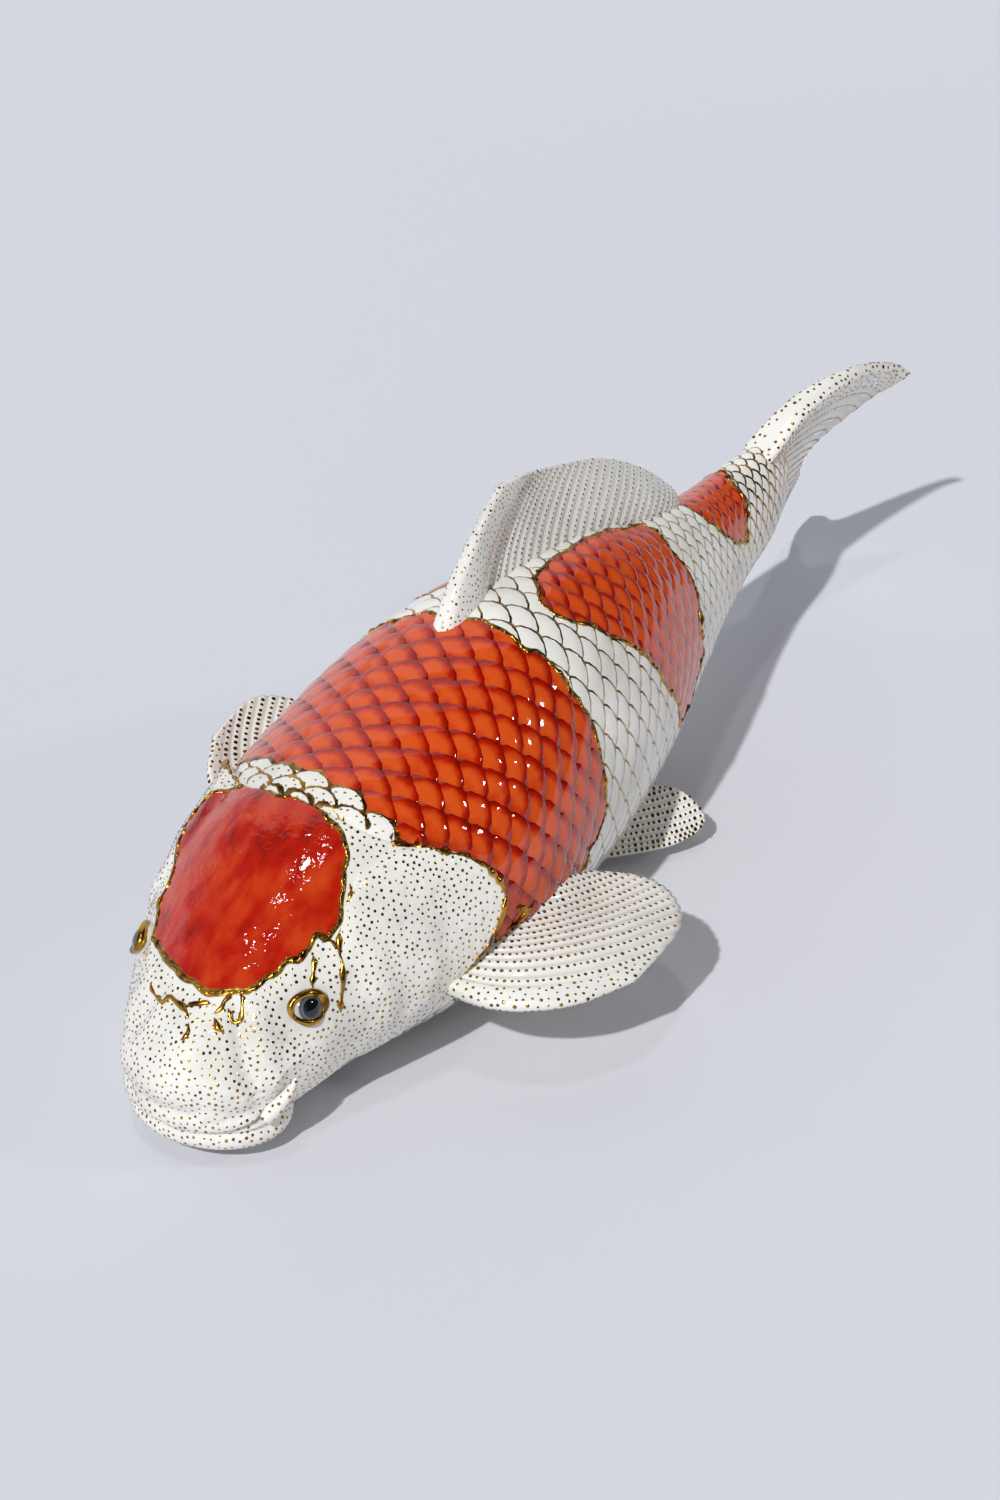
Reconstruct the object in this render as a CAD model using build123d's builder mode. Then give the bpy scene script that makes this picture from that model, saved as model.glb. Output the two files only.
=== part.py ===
from build123d import *
import os
from math import atan2, cos, degrees, pi, sin

# Fish figurine: a hollow slip-cast koi with fins, gill covers, eyes and barbels luted on before firing.
# The head points to -X, the tail to +X and the fish's left side to -Y.
# The origin is the middle of the flat foot under the belly.

# Driving dimensions of the body, in millimetres
body_length = 477.0
snout_reach = 199.0
body_width = 138.0
body_depth = 145.0
wall = 6.0
vent_diameter = 3.6
vent_back = 32.0

# Driving dimensions of the head
mouth_setback = 24.0
muzzle_length = 54.0
muzzle_width = 68.0
muzzle_height = 37.0
muzzle_middle = 34.0
mouth_length = 44.0
mouth_width = 56.0
lip_radius = 5.4
upper_lip_height = 22.0
lower_lip_height = 12.8
lower_lip_setback = 3.0
eye_radius = 7.0
eye_proud = 3.0
lid_width = 2.6
lid_height = 2.2
eye_heights = {"left": 60.0, "right": 61.0}
barbel_height = 19.0
barbel_rise = 14.0
barbel_stand_off = 5.0
barbel_root_radius = 2.8
barbel_tip_radius = 0.9
cover_thickness = 3.2
cover_flare = 9.0
cover_length = 78.0
cover_height = 74.0
cover_middle = 61.0

# Driving dimensions of the fins
fin_root_thickness = 6.5
fin_edge = 2.6
pectoral_poses = {
    "left": {"length": 106.0, "reach": 62.0, "shift": 0.0, "sweep": 0.0, "lift": 0.0},
    "right": {"length": 84.0, "reach": 47.0, "shift": 36.0, "sweep": 16.0, "lift": 34.0},
}
pectoral_rise = 17.0
pectoral_height = 41.0
pectoral_back = -93.0
pectoral_side = 50.0
pectoral_cup = 3.0
pectoral_rays = 10
pelvic_length = 66.0
pelvic_reach = 44.0
pelvic_rise = 24.0
pelvic_height = 7.5
pelvic_back = 45.0
pelvic_side = 13.0
pelvic_rays = 8
dorsal_length = 216.0
dorsal_height = 62.0
dorsal_sway = 6.0
dorsal_back = -16.0
dorsal_foot = 124.0
dorsal_lean = 13.0
dorsal_rays = 18
tail_length = 116.0
tail_root_thickness = 17.0
tail_height = 84.0
tail_reach = 64.0
tail_back = 260.0
tail_side = 0.0
tail_foot = 26.0
tail_rays = 10
anal_length = 46.0
anal_height = 34.0
anal_back = 126.0
anal_side = 6.0
anal_lean = 6.0
anal_foot = 6.0
anal_rays = 5

# One overrun serves every cut that has to pass right through
overrun = 4.0

# Stations of the body from snout to tail root, as shares of its length, length, width, depth and depth:
# how far along, how far sideways, half width, half depth and height of the middle
station_shares = [
    (0.010, -0.022, 0.110, 0.085, 0.205),
    (0.028, -0.020, 0.180, 0.148, 0.218),
    (0.050, -0.019, 0.236, 0.194, 0.244),
    (0.097, -0.012, 0.318, 0.258, 0.298),
    (0.147, -0.005, 0.379, 0.315, 0.350),
    (0.197, -0.001, 0.430, 0.362, 0.388),
    (0.247, 0.000, 0.455, 0.392, 0.403),
    (0.297, 0.001, 0.480, 0.421, 0.418),
    (0.348, 0.000, 0.485, 0.452, 0.444),
    (0.398, 0.000, 0.469, 0.482, 0.468),
    (0.448, 0.000, 0.439, 0.499, 0.485),
    (0.499, 0.001, 0.411, 0.500, 0.489),
    (0.549, 0.003, 0.383, 0.482, 0.494),
    (0.599, 0.006, 0.350, 0.455, 0.502),
    (0.650, 0.010, 0.312, 0.418, 0.504),
    (0.699, 0.015, 0.271, 0.367, 0.504),
    (0.750, 0.021, 0.230, 0.317, 0.505),
    (0.800, 0.027, 0.191, 0.270, 0.508),
    (0.850, 0.032, 0.155, 0.227, 0.512),
    (0.900, 0.038, 0.128, 0.196, 0.525),
    (0.950, 0.041, 0.107, 0.175, 0.545),
    (0.990, 0.043, 0.078, 0.155, 0.565),
    (1.020, 0.043, 0.045, 0.125, 0.575),
]
cavity_stations = [2, 4, 6, 8, 10, 12, 14, 16, 18, 20]
crown_pinch_share = 0.07
section_points = 14


# Shares of the head's pieces and of the fins' rays
valley_share = 0.5
fin_taper_share = 1.6
eye_back_share = 0.2
cover_stations = [3, 4, 5, 6, 7, 8]
cover_flare_shares = [0.02, 0.12, 0.3, 0.58, 0.92, 1.05]
cover_back = -96.0
cover_outline_shares = [
    (-0.46, 0.0),
    (-0.29, 0.36),
    (0.08, 0.5),
    (0.34, 0.42),
    (0.47, 0.2),
    (0.38, 0.0),
    (0.1, -0.25),
    (-0.12, -0.42),
    (-0.36, -0.5),
    (-0.5, -0.3),
]
eye_along_shares = {"left": 0.094, "right": 0.112}
barbel_root_share = 0.06
barbel_tip_share = 0.1

# Chords of each fin from root to edge, front end then rear end, as shares of its length, reach and rise
pectoral_chord_shares = [
    ((0.02, 0.0, 0.0), (0.40, 0.0, 1.0)),
    ((0.06, 0.60, 0.0), (0.55, 0.16, 0.95)),
    ((0.22, 0.98, 0.1), (0.84, 0.34, 0.6)),
    ((0.50, 1.16, 0.2), (0.97, 0.52, 0.35)),
    ((0.80, 1.07, 0.28), (1.0, 0.76, 0.28)),
]
pelvic_chord_shares = [
    ((0.0, 0.0, 0.0), (0.56, 0.18, 0.8)),
    ((0.32, 0.46, 0.0), (0.76, 0.43, 0.95)),
    ((0.65, 0.84, 0.02), (0.92, 0.68, 0.88)),
    ((0.86, 0.98, 0.15), (0.98, 0.87, 0.52)),
]
dorsal_chord_shares = [
    ((0.0, 0.0, 0.04), (0.96, 1.0, -0.42)),
    ((0.14, 0.0, 0.62), (0.99, 1.05, -0.12)),
    ((0.28, 0.0, 1.10), (1.03, 1.1, 0.18)),
]
dorsal_outline_shares = [
    (-0.06, -0.4),
    (-0.04, 0.1),
    (0.1, 0.5),
    (0.22, 0.87),
    (0.29, 0.96),
    (0.38, 0.87),
    (0.5, 0.765),
    (0.66, 0.57),
    (0.82, 0.27),
    (0.94, -0.06),
    (0.99, -0.32),
    (0.96, -0.6),
    (0.5, -0.7),
]
tail_chord_shares = [
    ((0.0, 0.31, 0.94), (0.0, 0.31, 0.41)),
    ((0.3, 0.20, 1.13), (0.3, 0.52, 0.27)),
    ((0.64, 0.09, 1.17), (0.64, 0.80, 0.12)),
    ((1.02, -0.03, 1.0), (1.02, 1.0, 0.02)),
]
tail_outline_shares = [
    (-0.05, 0.7),
    (0.05, 1.04),
    (0.35, 1.22),
    (0.7, 1.21),
    (0.93, 1.07),
    (0.985, 0.98),
    (0.88, 0.82),
    (0.72, 0.65),
    (0.67, 0.52),
    (0.73, 0.38),
    (0.88, 0.22),
    (0.93, 0.1),
    (0.8, 0.03),
    (0.5, 0.1),
    (0.2, 0.22),
    (0.02, 0.38),
]
anal_chord_shares = [
    ((0.0, 0.0, 0.75), (0.85, 0.9, 1.0)),
    ((0.3, 0.2, 0.32), (0.95, 1.0, 0.6)),
    ((0.62, 0.5, 0.02), (1.02, 1.05, 0.2)),
]


def station_place(index):
    """Give the middle of a station of the body."""
    along, sideways, _, _, middle = station_shares[index]
    return Vector(along * body_length - snout_reach, sideways * body_length, middle * body_depth)


def station_plane(index):
    """Give the upright plane of a station, square to the run of the backbone."""
    before = station_place(max(index - 1, 0))
    after = station_place(min(index + 1, len(station_shares) - 1))
    heading = atan2(after.Y - before.Y, after.X - before.X)
    return Plane(
        origin=station_place(index),
        x_dir=(-sin(heading), cos(heading), 0),
        z_dir=(cos(heading), sin(heading), 0),
    )


def body_section(index, inset):
    """Draw one egg-shaped section of the body, a given distance inside its skin."""
    _, _, width_share, depth_share, _ = station_shares[index]
    half_width = width_share * body_width - inset
    half_depth = depth_share * body_depth - inset
    points = []
    for step in range(section_points):
        angle = 2 * pi * step / section_points
        pinch = 1 - crown_pinch_share * sin(angle)
        points.append((half_width * cos(angle) * pinch, half_depth * sin(angle)))
    with BuildSketch(station_plane(index)) as section:
        with BuildLine():
            Spline(*points, periodic=True)
        make_face()
    return section.sketch


def body_loft(stations, insets):
    """Loft the body through some of its stations, each section its own distance inside the skin."""
    sections = [body_section(index, inset) for index, inset in zip(stations, insets)]
    with BuildPart() as form:
        loft(sections)
    return form.part


def spine_at(along):
    """Give the place, half width, half depth and heading of the body at a share of its length."""
    for index in range(len(station_shares) - 1):
        if station_shares[index + 1][0] >= along:
            break
    low, high = station_shares[index], station_shares[index + 1]
    blend = (along - low[0]) / (high[0] - low[0])
    row = [(1 - blend) * a + blend * b for a, b in zip(low, high)]
    place = Vector(row[0] * body_length - snout_reach, row[1] * body_length, row[4] * body_depth)
    heading = atan2((high[1] - low[1]), (high[0] - low[0]))
    return place, row[2] * body_width, row[3] * body_depth, heading


def fin_section(front, back, face, thickness, cup, rays):
    """Draw one section across a fin's rays: a strip with a ridge for each ray on both faces."""
    front, back, face = Vector(*front), Vector(*back), Vector(*face)
    chord = back - front
    across = chord.normalized()
    normal = face - across * face.dot(across)
    plane = Plane(origin=front, x_dir=across, z_dir=across.cross(normal.normalized()))
    width = chord.length
    valley = thickness * valley_share / 2
    crest = thickness / 2

    upper = []
    lower = []
    for step in range(2 * rays + 1):
        share = step / (2 * rays)
        height = crest if step % 2 else valley
        upper.append((width * share, cup * sin(pi * share) + height))
        lower.append((width * share, cup * sin(pi * share) - height))
    with BuildSketch(plane) as section:
        with BuildLine():
            Polyline(*upper, *reversed(lower), close=True)
        make_face()
    return section.sketch


def ribbed_fin(chords, face, cups, rays, root_thickness=fin_root_thickness):
    """Loft a ribbed fin through its chords, from a thick root to a thin edge."""
    last = len(chords) - 1
    sections = []
    for number, (front, back) in enumerate(chords):
        taper = (1 - number / last) ** fin_taper_share
        thickness = taper * root_thickness + (1 - taper) * fin_edge
        sections.append(fin_section(front, back, face, thickness, cups[number], rays))
    with BuildPart() as fin:
        loft(sections)
    return fin.part


# The outer form of the body, which every root, socket and cover is cut to
outer_form = body_loft(range(len(station_shares)), [0] * len(station_shares))
cavity_form = body_loft(cavity_stations, [wall] * len(cavity_stations))

# The head's own frame, turned with the snout
snout_place, _, _, snout_heading = spine_at(station_shares[0][0])
mouth_axis = snout_place + Vector(cos(snout_heading), sin(snout_heading), 0) * mouth_setback
head_turn = degrees(snout_heading)


def skin_point(along, side, height):
    """Give a place on the side of the body, at a share of its length, and its outward direction."""
    place, half_width, half_depth, heading = spine_at(along)
    lift = (height - place.Z) / half_depth
    reach = half_width * (1 - lift * lift) ** 0.5 * (1 - crown_pinch_share * lift)
    sideways = Vector(-sin(heading), cos(heading), 0) * side
    outward = (sideways * cos(lift) + Vector(0, 0, 1) * sin(lift)).normalized()
    return Vector(place.X, place.Y, height) + sideways * reach, outward


# Muzzle and lips, round forms stretched to their own length, width and height
with BuildPart() as unit_ball:
    Sphere(radius=1)
muzzle_form = scale(unit_ball.part, by=(muzzle_length / 2, muzzle_width / 2, muzzle_height / 2))

with BuildPart() as round_lip:
    Torus(major_radius=mouth_width / 2, minor_radius=lip_radius)
lip_form = scale(round_lip.part, by=(mouth_length / mouth_width, 1, 1))


def head_frame(setback, height):
    """Give a frame on the head's own axis, some way behind the mouth and above the floor."""
    place = mouth_axis + Vector(cos(snout_heading), sin(snout_heading), 0) * setback
    return Location((place.X, place.Y, height), (0, 0, head_turn))


# Eyeballs, domes with a flat back that sits in a socket
eyes = {}
lids = {}
lid_lift = eye_radius - eye_proud
lid_ring = (eye_radius ** 2 - lid_lift ** 2) ** 0.5
for side_name, side in {"left": -1, "right": 1}.items():
    surface, outward = skin_point(eye_along_shares[side_name], side, eye_heights[side_name])
    middle = surface - outward * lid_lift
    with BuildPart() as eye:
        with Locations(Location(Plane(origin=middle, z_dir=outward))):
            Sphere(radius=eye_radius)
        split(bisect_by=Plane(origin=middle - outward * eye_radius * eye_back_share, z_dir=outward))
    eyes[f"eye_{side_name}"] = eye
    with BuildPart() as lid:
        with Locations(Location(Plane(origin=surface, z_dir=outward))):
            Cone(lid_ring + lid_width, lid_ring, 2 * lid_height)
    lids[f"eyelid_{side_name}"] = lid

# Body shell: one casting with muzzle, lips, eye sockets, a flat foot and the vent hole
with BuildPart() as head_and_body:
    add(outer_form)
    with Locations(head_frame(0, muzzle_middle)):
        add(muzzle_form)
    with Locations(head_frame(0, upper_lip_height)):
        add(lip_form)
    with Locations(head_frame(lower_lip_setback, lower_lip_height)):
        add(lip_form)
outer_skin = head_and_body.part
with BuildPart() as body_shell:
    add(outer_skin)
    add(cavity_form, mode=Mode.SUBTRACT)
    with BuildSketch(Plane.XY):
        Rectangle(2 * body_length, 2 * body_width)
    extrude(amount=-overrun, mode=Mode.SUBTRACT)
    with Locations((vent_back, 0, 0)):
        Cylinder(vent_diameter / 2, 2 * (wall + overrun), mode=Mode.SUBTRACT)
    for eye in eyes.values():
        add(eye.part, mode=Mode.SUBTRACT)

# Gill covers, thin plates that lie on the cheek and stand off the body at the rear edge
flared = [cover_flare * share for share in cover_flare_shares]
cover_outside = body_loft(cover_stations, [-flare for flare in flared])
cover_inside = body_loft(cover_stations, [cover_thickness - flare for flare in flared])
cover_points = [
    (cover_length * along + cover_back, cover_height * up + cover_middle)
    for along, up in cover_outline_shares
]
covers = {}
for name, side in {"gill_cover_left": -1, "gill_cover_right": 1}.items():
    with BuildPart() as cover:
        with BuildSketch(Plane.XZ):
            with BuildLine():
                Spline(*cover_points, periodic=True)
            make_face()
        extrude(amount=-side * body_width)
        add(cover_outside, mode=Mode.INTERSECT)
        add(cover_inside, mode=Mode.SUBTRACT)
        add(outer_skin, mode=Mode.SUBTRACT)
    covers[name] = cover

# Eyelids, thin rings where each eyeball leaves the head
for side_name in ("left", "right"):
    with lids[f"eyelid_{side_name}"]:
        add(outer_skin, mode=Mode.SUBTRACT)
        add(eyes[f"eye_{side_name}"].part, mode=Mode.SUBTRACT)

# Barbels, one short whisker at each corner of the mouth that leans back along the cheek
barbels = {}
for side_name, side in {"left": -1, "right": 1}.items():
    root, _ = skin_point(barbel_root_share, side, barbel_height)
    tip, outward = skin_point(barbel_tip_share, side, barbel_height + barbel_rise)
    lean = tip + outward * barbel_stand_off - root
    with BuildPart() as barbel:
        with Locations(Location(Plane(origin=root + lean / 2, z_dir=lean.normalized()))):
            Cone(barbel_root_radius, barbel_tip_radius, lean.length)
        add(outer_skin, mode=Mode.SUBTRACT)
    barbels[f"barbel_{side_name}"] = barbel


def fin_chords(root, size, shares):
    """Turn a fin's chord shares into places, measured from its root corner."""
    chords = []
    for row in shares:
        ends = []
        for end in row:
            ends.append(Vector(*[start + span * share for start, span, share in zip(root, size, end)]))
        chords.append(ends)
    return chords


# Pectoral fins, broad paddles low behind the gill covers: the left one lies flat, the right one is raised
pectorals = {}
for side_name, side in {"left": -1, "right": 1}.items():
    pose = pectoral_poses[side_name]
    root = Vector(pectoral_back + pose["shift"], side * pectoral_side, pectoral_height)
    size = (pose["length"], side * pose["reach"], pectoral_rise)
    chords = fin_chords(root, size, pectoral_chord_shares)
    sweep, lift = side * pose["sweep"], side * pose["lift"]
    for row in chords:
        row[:] = [root + (end - root).rotate(Axis.Z, sweep).rotate(Axis.X, lift) for end in row]
    face = Vector(0, 0, 1).rotate(Axis.X, lift)
    blade = ribbed_fin(chords, face, [0, 0, pectoral_cup, pectoral_cup, pectoral_cup], pectoral_rays)
    with BuildPart() as pectoral:
        add(blade)
        add(outer_form, mode=Mode.SUBTRACT)
        add(covers[f"gill_cover_{side_name}"].part, mode=Mode.SUBTRACT)
    pectorals[f"pectoral_fin_{side_name}"] = pectoral

# Pelvic fins, smaller fans that spread from under the belly just above the floor
pelvics = {}
for side_name, side in {"left": -1, "right": 1}.items():
    root = (pelvic_back, side * pelvic_side, pelvic_height)
    size = (pelvic_length, side * pelvic_reach, pelvic_rise)
    chords = fin_chords(root, size, pelvic_chord_shares)
    blade = ribbed_fin(chords, (0, side, 1), [0, 0, 0, 0], pelvic_rays)
    with BuildPart() as pelvic:
        add(blade)
        add(outer_form, mode=Mode.SUBTRACT)
    pelvics[f"pelvic_fin_{side_name}"] = pelvic


def trimmed_fin(blade, outline):
    """Trim an upright fin to its outline seen from the side and seat it on the body."""
    with BuildPart() as fin:
        add(blade)
        with BuildSketch(Plane.XZ):
            with BuildLine():
                Spline(*outline, periodic=True)
            make_face()
        extrude(amount=body_width, both=True, mode=Mode.INTERSECT)
        add(outer_form, mode=Mode.SUBTRACT)
    return fin


# Dorsal fin, a long sail that leans back over the ridge of the back and bows a little to the right
root = (dorsal_back, 0, dorsal_foot)
size = (dorsal_length, dorsal_lean, dorsal_height)
blade = ribbed_fin(
    fin_chords(root, size, dorsal_chord_shares), (0, 1, 0), [0, dorsal_sway, dorsal_sway], dorsal_rays
)
outline = [(root[0] + size[0] * along, root[2] + size[2] * up) for along, up in dorsal_outline_shares]
dorsal_fin = trimmed_fin(blade, outline)

# Tail fin, a forked fan rolled so that its upper lobe swings to the left and its lower lobe to the right
root = (tail_back, tail_side, tail_foot)
size = (tail_length, tail_reach, tail_height)
blade = ribbed_fin(
    fin_chords(root, size, tail_chord_shares), (0, -1, 0), [0, 0, 0, 0], tail_rays, tail_root_thickness
)
outline = [(root[0] + size[0] * along, root[2] + size[2] * up) for along, up in tail_outline_shares]
tail_fin = trimmed_fin(blade, outline)

# Anal fin, a small blade under the tail
root = (anal_back, anal_side, anal_foot)
size = (anal_length, anal_lean, anal_height)
blade = ribbed_fin(fin_chords(root, size, anal_chord_shares), (0, 1, 0), [0, 0, 0], anal_rays)
with BuildPart() as anal_fin:
    add(blade)
    add(outer_form, mode=Mode.SUBTRACT)

pieces = {
    "body_shell": body_shell,
    **covers,
    **eyes,
    **lids,
    **barbels,
    **pectorals,
    **pelvics,
    "dorsal_fin": dorsal_fin,
    "tail_fin": tail_fin,
    "anal_fin": anal_fin,
}
os.makedirs("parts", exist_ok=True)
for name, piece in pieces.items():
    piece.part.label = name
    export_step(piece.part, f"parts/{name}.step")
    print(name, round(piece.part.volume), piece.part.is_valid, len(piece.part.solids()))
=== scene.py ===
import math
import random

import bmesh
import bpy
import numpy as np
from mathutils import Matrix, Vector, noise
from mathutils.bvhtree import BVHTree


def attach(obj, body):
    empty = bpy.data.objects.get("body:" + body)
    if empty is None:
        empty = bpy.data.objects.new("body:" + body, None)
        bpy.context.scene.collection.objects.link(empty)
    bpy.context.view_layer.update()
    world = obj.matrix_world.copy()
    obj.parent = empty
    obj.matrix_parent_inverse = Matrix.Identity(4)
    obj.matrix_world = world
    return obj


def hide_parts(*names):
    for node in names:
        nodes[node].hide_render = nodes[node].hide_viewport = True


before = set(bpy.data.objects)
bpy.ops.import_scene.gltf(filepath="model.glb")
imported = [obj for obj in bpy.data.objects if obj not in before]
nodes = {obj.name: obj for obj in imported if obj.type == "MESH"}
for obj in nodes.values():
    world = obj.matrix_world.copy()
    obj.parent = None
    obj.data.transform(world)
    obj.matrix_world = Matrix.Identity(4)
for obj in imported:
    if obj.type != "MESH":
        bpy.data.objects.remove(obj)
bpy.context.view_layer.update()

mm = 0.001
scene = bpy.context.scene
scene.view_settings.view_transform = "Standard"
noise.seed_set(4)  # without this the vector noise starts from the clock

# The fish lies along X: head at -X, left side at -Y. All places below are in millimetres.
# The backbone gives x, y and z of the body's middle, then its half width and half depth.
backbone = np.array([
    (-199, -19, 26, 14, 10), (-175, -9, 35, 33, 28), (-153, -6, 43, 44, 37), (-129, -2, 51, 52, 46),
    (-105, 0, 56, 59, 52), (-81, 0, 58, 63, 57), (-57, 0, 61, 66, 61), (-33, 0, 64, 67, 65),
    (-9, 0, 68, 65, 70), (15, 0, 70, 61, 72), (39, 0, 71, 57, 72), (63, 1, 72, 53, 70),
    (87, 3, 73, 48, 66), (111, 5, 73, 43, 61), (134, 7, 73, 37, 53), (159, 10, 73, 32, 46),
    (183, 13, 74, 26, 39), (206, 15, 74, 21, 33), (230, 18, 76, 18, 28), (254, 20, 79, 15, 25),
    (273, 20, 82, 11, 22), (288, 20, 83, 6, 18),
], float)

# the last two colours are painted shade: the dark in the groove of the mouth and in the valleys between the rays of the
# fins
glazes = {
    "white": "#ECEAE2", "whiteShade": "#D6D4CC", "redDeep": "#5E0600", "red": "#AE1801", "redPale": "#D4501A",
    "gold": "#C9993F", "goldDark": "#5E3E18", "slitShade": "#2B211C", "finValleyShade": "#A5A098",
}


def linear(code):
    # sRGB hex to the linear colour that a shader wants
    parts = [int(code[i:i + 2], 16) / 255 for i in (1, 3, 5)]
    return [p / 12.92 if p <= 0.04045 else ((p + 0.055) / 1.055) ** 2.4 for p in parts] + [1]


def addNode(tree, kind, settings=None, links=None, stops=None, out=0):
    # adds a shader node with its settings, links and colour stops, and gives one of its outputs
    node = tree.nodes.new("ShaderNode" + kind)
    for key, value in (settings or {}).items():
        if isinstance(key, str) and hasattr(node, key):
            setattr(node, key, value)
        else:
            node.inputs[key].default_value = linear(value) if isinstance(value, str) else value
    for key, source in (links or {}).items():
        tree.links.new(source, node.inputs[key])
    for number, (place, code) in enumerate(stops or []):
        if number > 1:
            node.color_ramp.elements.new(1)
        node.color_ramp.elements[number].position = place
        node.color_ramp.elements[number].color = linear(code)
    return node.outputs[out] if node.outputs else node


def newMaterial(name):
    material = bpy.data.materials.new(name)
    material.use_nodes = True
    material.node_tree.nodes.clear()
    return material, material.node_tree


def cloud(tree, size, detail=3.0, stretch=(1, 1, 1)):
    # a noise pattern fixed to the piece, where size is one blotch in millimetres
    place = addNode(tree, "TexCoord", out=3)
    stretched = addNode(tree, "Mapping", {"Scale": stretch}, {"Vector": place})
    return addNode(tree, "TexNoise", {"Scale": 1 / (size * mm), "Detail": detail}, {"Vector": stretched})


def glazed(tree, colour, height, depth, coat=0.35, links=None, settings=None):
    # the finished surface: a bump of so many millimetres under a hard gloss
    bump = addNode(tree, "Bump", {"Strength": 0.6, "Distance": depth * mm}, {"Height": height})
    fixed = {"Coat Weight": coat, "Coat Roughness": 0.015, **(settings or {})}
    sources = {"Base Color": colour, "Normal": bump, **(links or {})}
    addNode(tree, "OutputMaterial", links={"Surface": addNode(tree, "BsdfPrincipled", fixed, sources)})


def goldTone(tree):
    # worn lustre goes brown where the firing thinned it, about every 5 mm
    stops = [(0.35, glazes["goldDark"]), (0.6, glazes["gold"])]
    return addNode(tree, "ValToRGB", links={"Fac": cloud(tree, 5, 2)}, stops=stops)


def whiteTone(tree):
    # clear glaze over white slip pools a little greener and greyer in broad clouds
    stops = [(0.3, glazes["whiteShade"]), (0.55, glazes["white"])]
    return addNode(tree, "ValToRGB", links={"Fac": cloud(tree, 40, 3)}, stops=stops)


def redTone(tree, level, places):
    # iron red pools dark in the grooves and breaks to orange on the high places
    codes = [glazes[key] for key in ("redDeep", "red", "redPale")]
    return addNode(tree, "ValToRGB", links={"Fac": level}, stops=list(zip(places, codes)))


def redPatch(tree, gap, waver, soft, half):
    # where a red patch is, and its wavering gold border about 2 mm wide
    waver = addNode(tree, "MapRange", {"To Min": -1.0, "To Max": 1.0}, {"Value": waver})
    left = addNode(tree, "Math", {"operation": "ADD"}, {0: gap, 1: waver})
    share = addNode(tree, "MapRange", {"From Min": -soft, "From Max": soft}, {"Value": left})
    near = addNode(tree, "Math", {"operation": "ABSOLUTE"}, {0: left})
    return share, addNode(tree, "MapRange", {"From Min": half + 0.15, "From Max": half - 0.15}, {"Value": near})


def goldEdged(tree, ground, mask, lumps, step, depth):
    # glaze that turns to gold lustre under the mask, where it stands a step higher
    tone = addNode(tree, "Mix", {"data_type": "RGBA"}, {0: mask, 6: ground, 7: goldTone(tree)}, out=2)
    rough = addNode(tree, "MapRange", {"To Min": 0.06, "To Max": 0.28}, {"Value": mask})
    goldStep = addNode(tree, "Math", {"operation": "MULTIPLY", 1: step}, {0: mask})
    height = addNode(tree, "Math", {"operation": "ADD"}, {0: lumps, 1: goldStep})
    glazed(tree, tone, height, depth, links={"Metallic": mask, "Roughness": rough})


# Glazed stoneware of the scales: hard bright gloss over white or iron red, each white scale edged in gold lustre
scaleGlaze, tree = newMaterial("glazedScaleStoneware")
edgeGap, rimWidth, patchEdge, crown = [
    addNode(tree, "Attribute", {"attribute_name": key}, out=2) for key in ("edgeGap", "rimWidth", "patchGap", "crown")]
wobble = addNode(tree, "MapRange", {"To Min": -0.5, "To Max": 0.5}, {"Value": cloud(tree, 3, 2)})
rimGap = addNode(tree, "Math", {"operation": "ADD"}, {0: edgeGap, 1: wobble})
rimLeft = addNode(tree, "Math", {"operation": "SUBTRACT"}, {0: rimWidth, 1: rimGap})
lineMask = addNode(tree, "MapRange", {"From Min": -0.12, "From Max": 0.12}, {"Value": rimLeft})
redShare, borderMask = redPatch(tree, patchEdge, cloud(tree, 6, 3), 0.15, 0.95)
whiteShare = addNode(tree, "Math", {"operation": "SUBTRACT", 0: 1.0}, {1: redShare})
whiteLine = addNode(tree, "Math", {"operation": "MULTIPLY"}, {0: lineMask, 1: whiteShare})
rimMask = addNode(tree, "Math", {"operation": "MAXIMUM"}, {0: whiteLine, 1: borderMask})
crownPart = addNode(tree, "Math", {"operation": "MULTIPLY", 1: 0.8}, {0: crown})
cloudPart = addNode(tree, "Math", {"operation": "MULTIPLY", 1: 0.6}, {0: cloud(tree, 9, 5)})
redLevel = addNode(tree, "Math", {"operation": "ADD"}, {0: crownPart, 1: cloudPart})
scaleRed = redTone(tree, redLevel, (0.3, 0.72, 1.0))
ground = addNode(tree, "Mix", {"data_type": "RGBA"}, {0: redShare, 6: whiteTone(tree), 7: scaleRed}, out=2)
goldEdged(tree, ground, rimMask, cloud(tree, 7, 2), 0.4, 0.5)

# Glazed stoneware of the head: the same glaze, with the red cap and its gold border
headGlaze, tree = newMaterial("glazedHeadStoneware")
capDistance, slitShade = [addNode(tree, "Attribute", {"attribute_name": key}, out=2) for key in ("capDistance", "slitShade")]
capMask, borderMask = redPatch(tree, capDistance, cloud(tree, 7, 3), 0.2, 1.0)
capRed = redTone(tree, cloud(tree, 12, 6, (0.5, 1.2, 1)), (0.2, 0.45, 0.85))
ground = addNode(tree, "Mix", {"data_type": "RGBA"}, {0: capMask, 6: whiteTone(tree), 7: capRed}, out=2)
# painted shade: the mouth's groove is mixed toward near black along its line
ground = addNode(tree, "Mix", {"data_type": "RGBA", 7: glazes["slitShade"]}, {0: slitShade, 6: ground}, out=2)
goldEdged(tree, ground, borderMask, cloud(tree, 9, 3), 0.5, 2.0)

# Glazed stoneware of the fins: thin white glaze, greyed with painted shade in the valleys between the rays
finGlaze, tree = newMaterial("glazedFinStoneware")
valley = addNode(tree, "Attribute", {"attribute_name": "valley"}, out=2)
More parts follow.
